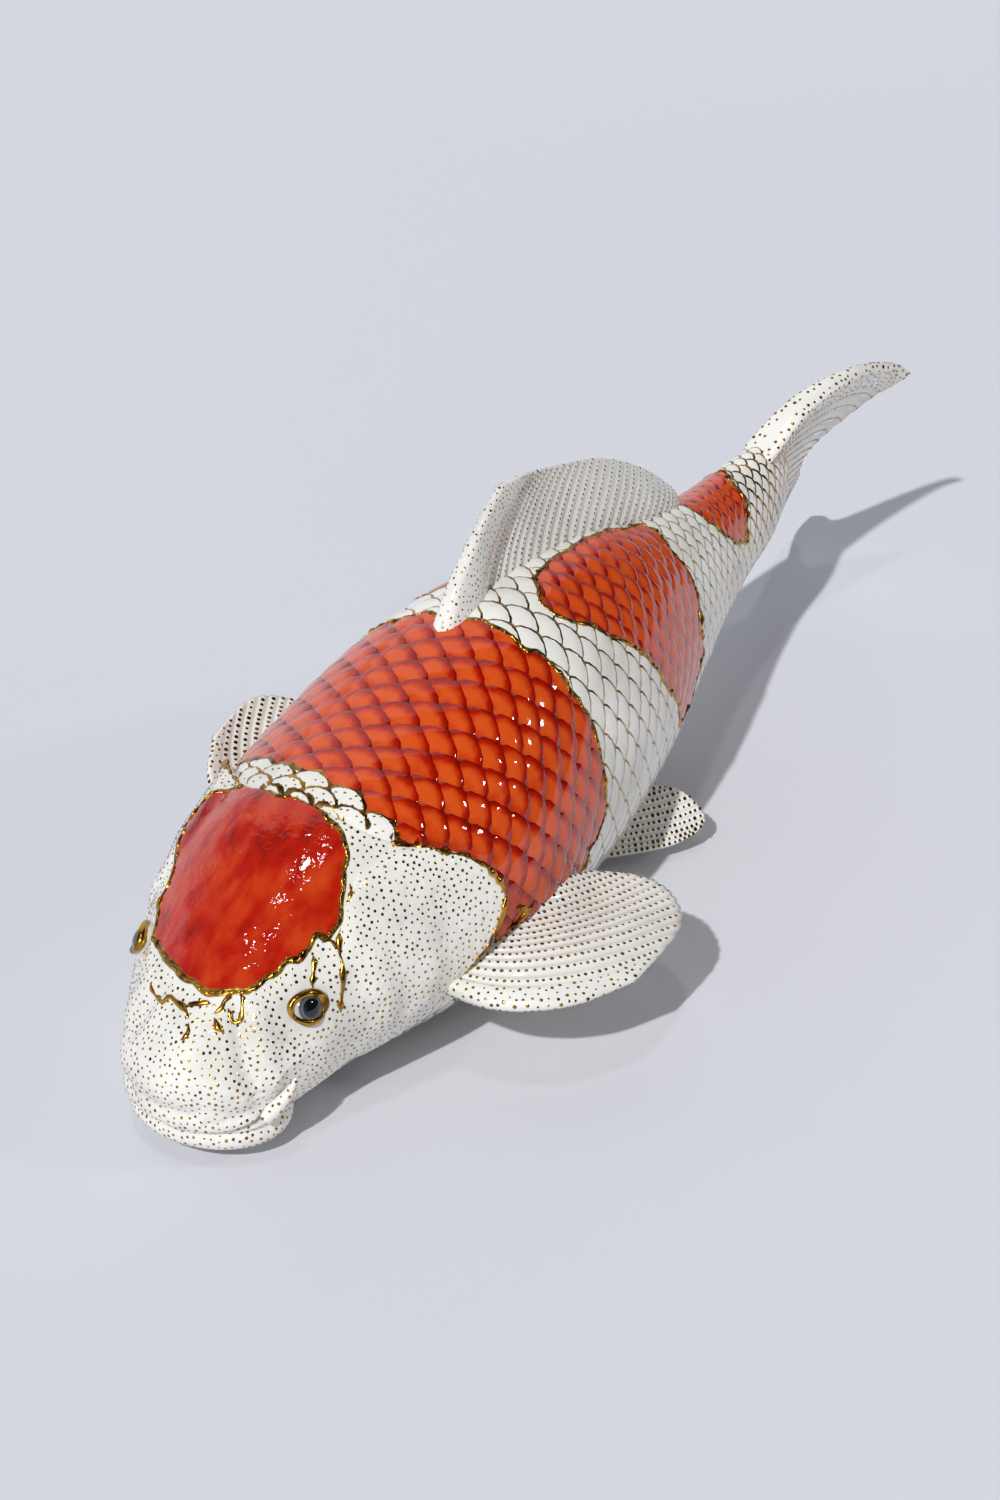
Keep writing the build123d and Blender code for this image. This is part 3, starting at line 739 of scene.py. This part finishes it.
# Fins
# Each fin is drawn between four curves: where it joins the body, its outer edge, its front edge and its rear edge
fins = {
    "pectoral_fin_left": {
        "root": [(-91, -50, 41), (-72, -52, 49), (-50, -52, 57)],
        "edge": [(-46, -121.5, 44.5), (-8, -117, 46), (11, -101, 46), (13, -84, 47), (0, -69, 50)],
        "front": [(-91, -50, 41), (-89, -84, 41), (-73, -108, 42.5), (-46, -121.5, 44.5)],
        "rear": [(-50, -52, 57), (-32, -60, 57), (0, -69, 50)],
        "rays": 14, "thick": (6.0, 2.6), "band": 0.10, "flesh": 0.45, "dot": 0.8, "pitch": 3.0, "bow": 2.5},
    "pelvic_fin_left": {
        "root": [(45, -14, 8), (60, -17, 17), (80, -20, 27)],
        "edge": [(101, -56, 11), (107.5, -56.5, 15), (108.5, -51, 21), (105, -43, 27), (97, -35, 30)],
        "front": [(45, -14, 8), (66, -33, 8), (88, -50, 8.5), (101, -56, 11)],
        "rear": [(80, -20, 27), (91, -28, 30), (97, -35, 30)],
        "rays": 11, "thick": (5.0, 2.2), "band": 0.0, "dot": 0.8, "pitch": 2.6, "bow": 0.0},
    "dorsal_fin": {
        "root": [(-14, 1, 128), (30, 0, 132), (90, 3, 126), (150, 9, 112), (190, 13, 100)],
        "edge": [
            (44, 7, 183), (68, 10, 178), (92, 12, 171), (127, 14, 159.5), (161, 15.5, 141), (187, 16, 120),
            (196, 15.5, 106)],
        "front": [(-14, 1, 128), (4, 2, 155), (26, 4, 174), (44, 7, 183)],
        "rear": [(190, 13, 100), (194, 14, 103), (196, 15.5, 106)],
        "rays": 30, "thick": (6.4, 2.6), "band": 0.18, "flesh": 1.6, "dot": 0.58, "pitch": 2.3, "bow": 3.0},
    "tail_fin": {
        "root": [(264, 20, 103), (266, 21, 83), (264, 20, 62)],
        "edge": [
            (373.5, -0.5, 108), (361, 15, 95), (344, 28, 80.5), (338.5, 35, 70), (345, 42, 58), (360, 51, 45),
            (366.5, 58, 35)],
        "front": [(264, 20, 103), (296, 12, 121.5), (334, 5.5, 124), (360, 1.5, 117.5), (373.5, -0.5, 108)],
        "rear": [(264, 20, 62), (284, 29, 47), (318, 42, 36), (350, 55, 30), (366.5, 58, 35)],
        "rays": 15, "thick": (12.0, 2.6), "band": 0.12, "flesh": 0.45, "dot": 0.9, "pitch": 3.0, "bow": 0.0},
    "anal_fin": {
        "root": [(132, 7, 32), (148, 9, 36), (165, 12, 42)],
        "edge": [(164, 9, 7.5), (170, 10.5, 14), (173, 11, 24)],
        "front": [(132, 7, 32), (148, 8, 17), (164, 9, 7.5)],
        "rear": [(165, 12, 42), (170, 11.5, 32), (173, 11, 24)],
        "rays": 7, "thick": (5.0, 2.2), "band": 0.0, "dot": 0.7, "pitch": 2.6, "bow": 0.0},
}
# The right pectoral fin is the left one's shape made smaller, swept back and raised
raised = {"size": (76 / 106, -42 / 62), "rootFrom": (-93, -50, 41), "rootTo": (-57, 50, 41), "sweep": 16, "lift": 34}


def carried(points, move):
    moved = []
    a, b = math.radians(move["sweep"]), math.radians(move["lift"])
    for p in points:
        q = Vector(p) - Vector(move["rootFrom"])
        q = Vector((q.x * move["size"][0], q.y * move["size"][1], q.z))
        q = Vector((q.x * math.cos(a) - q.y * math.sin(a), q.x * math.sin(a) + q.y * math.cos(a), q.z))
        q = Vector((q.x, q.y * math.cos(b) - q.z * math.sin(b), q.y * math.sin(b) + q.z * math.cos(b)))
        moved.append(tuple(q + Vector(move["rootTo"])))
    return moved


fins["pectoral_fin_right"] = dict(fins["pectoral_fin_left"], rays=12, pitch=2.8, dot=0.9)
fins["pelvic_fin_right"] = dict(fins["pelvic_fin_left"])
for key in ("root", "edge", "front", "rear"):
    fins["pectoral_fin_right"][key] = carried(fins["pectoral_fin_left"][key], raised)
    fins["pelvic_fin_right"][key] = [(x, -y, z) for x, y, z in fins["pelvic_fin_left"][key]]


def finMiddle(fin, u, v):
    # a place on the fin's middle sheet: u from root to edge, v from front to rear
    root, edge = curveThrough(fin["root"], v), curveThrough(fin["edge"], v)
    front, rear = curveThrough(fin["front"], u), curveThrough(fin["rear"], u)
    c00, c01, c10, c11 = [Vector(p) for p in (fin["root"][0], fin["root"][-1], fin["edge"][0], fin["edge"][-1])]
    corners = (c00 * (1 - v) + c01 * v) * (1 - u) + (c10 * (1 - v) + c11 * v) * u
    return root * (1 - u) + edge * u + front * (1 - v) + rear * v - corners


def finFace(fin, u, v):
    along = finMiddle(fin, min(u + 0.01, 1), v) - finMiddle(fin, max(u - 0.01, 0), v)
    across = finMiddle(fin, u, min(v + 0.01, 1)) - finMiddle(fin, u, max(v - 0.01, 0))
    return along.cross(across).normalized()


def finSurface(fin, u, v, side):
    # a place on one face of the fin, with its rays raised, and how deep in a valley it is
    band = fin["band"]
    ridge = abs(math.sin(math.pi * fin["rays"] * (v - band) / (1 - band))) if v > band else 1.0
    ridge = ridge ** 0.7
    thick = fin["thick"][0] * (1 - u) ** 1.6 + fin["thick"][1] * (1 - (1 - u) ** 1.6)
    # all four edges are rounded off
    rim = min(u / 0.03, (1 - u) / 0.025, v / 0.02, (1 - v) / 0.015, 1)
    rim = math.sqrt(max(0.0, 1 - (1 - rim) ** 2))
    if v < band:
        thick *= 1 + fin["flesh"] * math.sin(math.pi * v / band) ** 0.6 * (1 - 0.6 * u)
    depth = thick / 2 * rim * (0.55 + 0.45 * ridge)
    wave = fin["bow"] * math.sin(math.pi * u) * math.sin(math.pi * v * 2)
    p = finMiddle(fin, u, v)
    if u > 0.97 and band < v:
        # the outer edge is notched between the rays
        p = p + (finMiddle(fin, 0.97, v) - p) * (0.35 * (1 - ridge))
    return p + finFace(fin, u, v) * (side * depth + wave), 1 - ridge


def finSheet(fin, along=44):
    # two faces that meet at the rounded edges, with six columns to a ray
    bm = bmesh.new()
    layer = bm.verts.layers.float.new("valley")
    across = fin["rays"] * 6 + (8 if fin["band"] else 0)
    for side in sideNames:
        start = len(bm.verts)
        bmesh.ops.create_grid(bm, x_segments=along, y_segments=across, size=1)
        bm.verts.ensure_lookup_table()
        for v in bm.verts[start:]:
            v.co, v[layer] = finSurface(fin, (v.co.x + 1) / 2, (v.co.y + 1) / 2, side)
    return bm


for name, fin in fins.items():
    addPiece(name.replace("_fin", "Blade"), finSheet(fin), finGlaze, [name])

# Gold dots: low domes of lustre whose edge sinks into the glaze
dots = {
    "radius": 0.66, "pitch": 2.3, "height": 0.24, "sunk": -0.04, "sides": 7, "seed": 11,
    "trials": 60000, "headEdge": 0.5, "capGap": 2.2, "slitGap": 1.6, "eyeGap": 10.5, "lowest": 3,
    "napeTrials": 2500, "napePitch": 2.4, "napeEdge": 1.5, "bandTrials": 1800, "bandPitch": 0.85,
}
rng = random.Random(dots["seed"])
dotSheet = bmesh.new()
bmesh.ops.create_circle(dotSheet, cap_ends=True, cap_tris=True, segments=dots["sides"], radius=1)
dotBlank = meshFrom(dotSheet, "dotBlank")


def addDot(bm, place, normal, radius):
    start = len(bm.verts)
    bm.from_mesh(dotBlank)
    bm.verts.ensure_lookup_table()
    side = normal.orthogonal().normalized()
    up = normal.cross(side)
    for v in bm.verts[start:]:
        middle = v.co.length < 0.5
        v.co = place + (side * v.co.x + up * v.co.y) * radius + normal * (dots["height"] if middle else dots["sunk"])


def tooNear(p, others, gap):
    return any((q - p).length < gap for q in others)


# Dots of the head and the barbels, kept apart by a grid of cells as wide as their pitch
headDots = bmesh.new()
areas = np.cumsum([f[0] for f in headFaces])
around = [(i, j, k) for i in (-1, 0, 1) for j in (-1, 0, 1) for k in (-1, 0, 1)]
cells = {}
for _ in range(dots["trials"]):
    _, corners, normal = headFaces[int(np.searchsorted(areas, rng.random() * areas[-1]))]
    if len(corners) < 3:
        continue
    a, b = rng.random(), rng.random()
    if a + b > 1:
        a, b = 1 - a, 1 - b
    p = corners[0] + (corners[1] - corners[0]) * a + (corners[-1] - corners[0]) * b
    if p.z < dots["lowest"] or p.x > headEdgeAt(turnOf(p)) - dots["headEdge"]:
        continue
    cell = tuple(int(c // dots["pitch"]) for c in p)
    near = [q for i, j, k in around for q in cells.get((cell[0] + i, cell[1] + j, cell[2] + k), [])]
    if tooNear(p, near, dots["pitch"] * (0.92 + 0.2 * rng.random())):
        continue
    if capGapAt(p) > -dots["capGap"] or nearest(slitRun, p) < dots["slitGap"]:
        continue
    if tooNear(p, eyeCentres, dots["eyeGap"]):
        continue
    cells.setdefault(cell, []).append(p)
    addDot(headDots, p, normal, dots["radius"] * (0.75 + 0.5 * rng.random()))
addPiece("headDots", headDots, goldLustre, weld=0)

# Gold runs: the lumpy lustre that was trailed round the patches, over the nape and in drips below the cap
runs = {"edgeSize": 1.2, "patchSize": 1.05, "dripSize": 1.3, "edgeTurns": (38, 101, 2), "lowest": 6}
drips = [
    [(-169, 17, 61), (-176, 11, 59), (-178, 5, 59), (-176, 2, 61), (-179, -8, 60), (-181, -9, 58)],
    [(-178, -6, 61), (-175, -11, 63), (-173, -15, 63)],
    [(-181, -11, 58), (-184, -13, 54), (-186, -11, 52)],
    [(-166, -19, 67), (-172, -19, 63), (-175, -17, 61)],
    [(-165, -22, 67), (-169, -26, 62), (-173, -27, 58)],
    [(-176, -18, 60), (-177, -21, 58), (-178, -24, 56)],
    [(-171, -21, 63), (-173, -25, 59), (-170, -28, 60)],
    [(-138, -36, 74), (-142, -39, 69), (-145, -41, 64)],
    [(-125, -40, 81), (-129, -41, 75), (-133, -46, 67), (-137, -47, 58), (-139, -48, 53)],
    [(-113, -35, 92), (-116, -37, 90), (-119, -38, 88)],
    [(-134, -37, 78), (-131, -39, 78), (-129, -41, 75)],
    [(-66, -71, 66), (-62, -72, 60), (-66, -71, 54), (-72, -69, 48)],
    [(-52, -66, 61), (-46, -66, 57), (-50, -66, 53), (-58, -66, 54)],
    [(-39, -67, 57), (-46, -68, 55), (-52, -66, 52)],
]


def onTree(tree, x, turn, lift):
    # a place on a finished surface and the way that faces outward there
    middle, way = outward(x, turn)
    hit = castIn(tree, middle, way)[0]
    return (hit + way * lift, way) if hit else None


def onScales(x, turn):
    # the same on the outermost scale, of whichever side
    found = [onTree(tree, x, turn, -0.1) for tree in scaleTrees.values()]
    middle = outward(x, turn)[0]
    return max((f for f in found if f), key=lambda f: (f[0] - middle).dot(f[1]), default=None)


def isHidden(x, turn, place):
    # no trail runs under the belly, along the root of the dorsal fin or under the nape
    return (place is None or place[0].z < runs["lowest"] or (abs(turn) < 5 and -8 < x < 188)
            or (x < -80 and abs(turn) < 50))


def trailSheet(places, size, seed):
    # a closed lumpy run of lustre along some places of a surface
    spots = [p for p, _ in places]
    ways = [w for _, w in places]
    last = len(places) - 1

    def place(u, w):
        spot = u * last
        i = min(int(spot), last - 1)
        p = curveThrough(spots, u)
        way = ways[i].lerp(ways[i + 1], spot - i).normalized()
        ahead = (curveThrough(spots, min(u + 0.5 / last, 1)) - curveThrough(spots, max(u - 0.5 / last, 0))).normalized()
        side = ahead.cross(way).normalized()
        lump = 0.85 + 1.2 * noise.noise(p / 2.2 + Vector((seed, 0, 0)))
        end = math.sqrt(max(0.0, 1 - (max(0, 1 - min(u, 1 - u) * last) ** 2)))
        r = size * max(0.35, lump) * end
        drift = noise.noise(p / 4 + Vector((0, seed, 0))) * size * 0.9
        a = w * 2 * math.pi
        return p + side * (r * math.cos(a) + drift) + way * r * 0.6 * math.sin(a)
    return gridSheet(last * 3, 8, place)


trails = []
for side in sideNames:
    edgeRun = [onTree(skinTree, headEdgeAt(t) - 0.8, side * t, 0.2) for t in range(*runs["edgeTurns"])]
    trails.append(trailSheet([p for p in edgeRun if p], runs["edgeSize"], 1 + side))
capLoop = list(outlines["cap"]) + [outlines["cap"][0]]
capRun = [onTree(skinTree, x, turnAt(x, s), 0) for x, s in capLoop]
trails.append(trailSheet([p for p in capRun if p], runs["patchSize"], 2))
for number, outline in enumerate(trunkPatches):
    stretch = []
    for x, s in list(outline) + [outline[0]]:
        turn = turnAt(x, s)
        place = onScales(x, turn) if x > headEdgeAt(turn) + 1 else None
        hidden = isHidden(x, turn, place)
        if not hidden:
            stretch.append(place)
        if (hidden or (x, s) == tuple(outline[0])) and len(stretch) > 3:
            trails.append(trailSheet(stretch, runs["patchSize"], 3 + number))
        if hidden:
            stretch = []
for number, drip in enumerate(drips):
    # drips in front of x -75 lie on the head, the others on the scales
    places = [skinTree.find_nearest(Vector(p))[:2] if p[0] < -75
              else onTree(scaleTrees["left"], p[0], turnOf(p), 0.3) for p in drip]
    trails.append(trailSheet(places, runs["dripSize"], 20 + number))
goldRuns = bmesh.new()
for sheet in trails:
    weldSheet(sheet, 0.01)
    part = meshFrom(sheet, "runPart")
    goldRuns.from_mesh(part)
    bpy.data.meshes.remove(part)
addPiece("goldRuns", goldRuns, goldLustre, weld=0)

# The few nape scales between the cap and the shoulder patch are dotted too
napeDots = bmesh.new()
kept = []
for _ in range(dots["napeTrials"]):
    x, turn = -100 + 24 * rng.random(), -60 + 120 * rng.random()
    sideName = "left" if turn < 0 else "right"
    middle, way = outward(x, turn)
    hit, normal, face, _ = castIn(scaleTrees[sideName], middle, way)
    if hit is None or x < headEdgeAt(turn) + dots["napeEdge"]:
        continue
    if face // (scales["long"] * scales["broad"]) not in napeScales[sideName] or tooNear(hit, kept, dots["napePitch"]):
        continue
    kept.append(hit)
    addDot(napeDots, hit, normal if normal.dot(way) > 0 else -normal, dots["radius"] * (0.75 + 0.4 * rng.random()))
addPiece("napeDots", napeDots, goldLustre, weld=0)

# Dots of the fins: one line on each ray, and scattered ones on the fleshy band at the front
finDots = bmesh.new()


def addFinDot(fin, u, v, side, size):
    # a dot that faces the way the fin's own surface does there
    p, _ = finSurface(fin, u, v, side)
    along = finSurface(fin, min(u + 0.006, 1), v, side)[0] - finSurface(fin, max(u - 0.006, 0), v, side)[0]
    across = finSurface(fin, u, min(v + 0.004, 1), side)[0] - finSurface(fin, u, max(v - 0.004, 0), side)[0]
    normal = along.cross(across).normalized() * side
    if normal.length > 0.5:
        addDot(finDots, p, normal, size)


for fin in fins.values():
    band = fin["band"]
    for side in sideNames:
        for ray in range(fin["rays"]):
            v = band + (1 - band) * (ray + 0.5) / fin["rays"]
            u = 0.04
            while u < 0.988:
                perShare = (finMiddle(fin, min(u + 0.01, 1), v) - finMiddle(fin, u, v)).length / 0.01
                addFinDot(fin, u, v, side, fin["dot"] * (0.75 + 0.4 * rng.random()))
                u += fin["pitch"] * (0.85 + 0.3 * rng.random()) / max(perShare, 1)
        taken = []
        for _ in range(dots["bandTrials"] if band else 0):
            u, v = 0.02 + 0.96 * rng.random(), 0.001 + (band - 0.003) * rng.random()
            p = finSurface(fin, u, v, side)[0]
            if all((q - p).length > fin["pitch"] * dots["bandPitch"] for q in taken):
                taken.append(p)
                addFinDot(fin, u, v, side, fin["dot"] * (0.6 + 0.5 * rng.random()))
addPiece("finDots", finDots, goldLustre, weld=0)

# Matt paper floor: pale and without gloss, so that the shadow reads
floorSheet = bmesh.new()
bmesh.ops.create_grid(floorSheet, x_segments=2, y_segments=2, size=9)
floorMesh = meshFrom(floorSheet, "floor")
floorPaint, tree = newMaterial("matPaperFloor")
floorTone = addNode(tree, "ValToRGB", links={"Fac": cloud(tree, 900, 1)}, stops=[(0.3, "#D6D7DE"), (0.7, "#DADBE1")])
glazed(tree, floorTone, cloud(tree, 3, 2), 0.02, 0.0, settings={"Roughness": 0.85})
floorMesh.materials.append(floorPaint)
floor = bpy.data.objects.new("floor", floorMesh)
scene.collection.objects.link(floor)

# Studio light
world = bpy.data.worlds.new("studio")
scene.world = world
world.use_nodes = True
world.node_tree.nodes.clear()
tree = world.node_tree
skyWay = addNode(tree, "TexCoord")
skyHeight = addNode(tree, "SeparateXYZ", links={"Vector": skyWay}, out=2)
skyTone = addNode(tree, "ValToRGB", links={"Fac": skyHeight}, stops=[
    (0.0, "#F2F4FA"), (0.3, "#DDE2EE"), (0.55, "#7C808A"), (0.9, "#50545C")])
# the side to the right of the camera is left dark, so that the near flank shows deep red
skySide = addNode(tree, "VectorMath", {"operation": "DOT_PRODUCT", 1: (0.55, -0.83, 0.0)}, {0: skyWay}, out=1)
sideTone = addNode(tree, "ValToRGB", links={"Fac": skySide}, stops=[(0.05, "#FFFFFF"), (0.6, "#34363C")])
shaded = {"data_type": "RGBA", "blend_type": "MULTIPLY", 0: 1.0}
skyTone = addNode(tree, "Mix", shaded, {6: skyTone, 7: sideTone}, out=2)
addNode(tree, "OutputWorld", links={"Surface": addNode(tree, "Background", {"Strength": 0.94}, {"Color": skyTone})})

# The key throws the shadow, glint and top give the small highlights, and the broad ones lift the shade
lamps = {
    "key": {"way": (1.014, 0.216, -1.0), "strength": 2.5, "angle": 1.6},
    "glint": {"way": (-0.42, 0.74, -0.53), "strength": 0.22, "angle": 3.0},
    "top": {"way": (0.2, 0.06, -0.97), "strength": 0.2, "angle": 3.0},
    "fill": {"way": (-0.55, -0.5, -0.9), "strength": 0.4, "angle": 60},
    "side": {"way": (-0.42, 0.74, -0.53), "strength": 0.36, "angle": 70},
}
for name, lamp in lamps.items():
    light = bpy.data.lights.new(name, "SUN")
    light.energy = lamp["strength"]
    light.angle = math.radians(lamp["angle"])
    lightObject = bpy.data.objects.new(name, light)
    lightObject.rotation_euler = Vector(lamp["way"]).to_track_quat("-Z", "Y").to_euler()
    lightObject.visible_glossy = name != "side"  # so broad that the glaze mustn't mirror it
    scene.collection.objects.link(lightObject)

shot = {
    "place": (-993.74, -724.70, 827.30), "heading": 35.173, "pitch": 31.181, "lens": 85.0, "sensor": 36.0,
    "farthest": 50,
}
camera = bpy.data.cameras.new("camera")
camera.lens = shot["lens"]
camera.sensor_width = shot["sensor"]
camera.clip_end = shot["farthest"]
cameraObject = bpy.data.objects.new("camera", camera)
cameraObject.location = Vector(shot["place"]) * mm
cameraObject.rotation_euler = (math.radians(90 - shot["pitch"]), 0, math.radians(shot["heading"] - 90))
scene.collection.objects.link(cameraObject)
scene.camera = cameraObject
print("floor, light and camera")
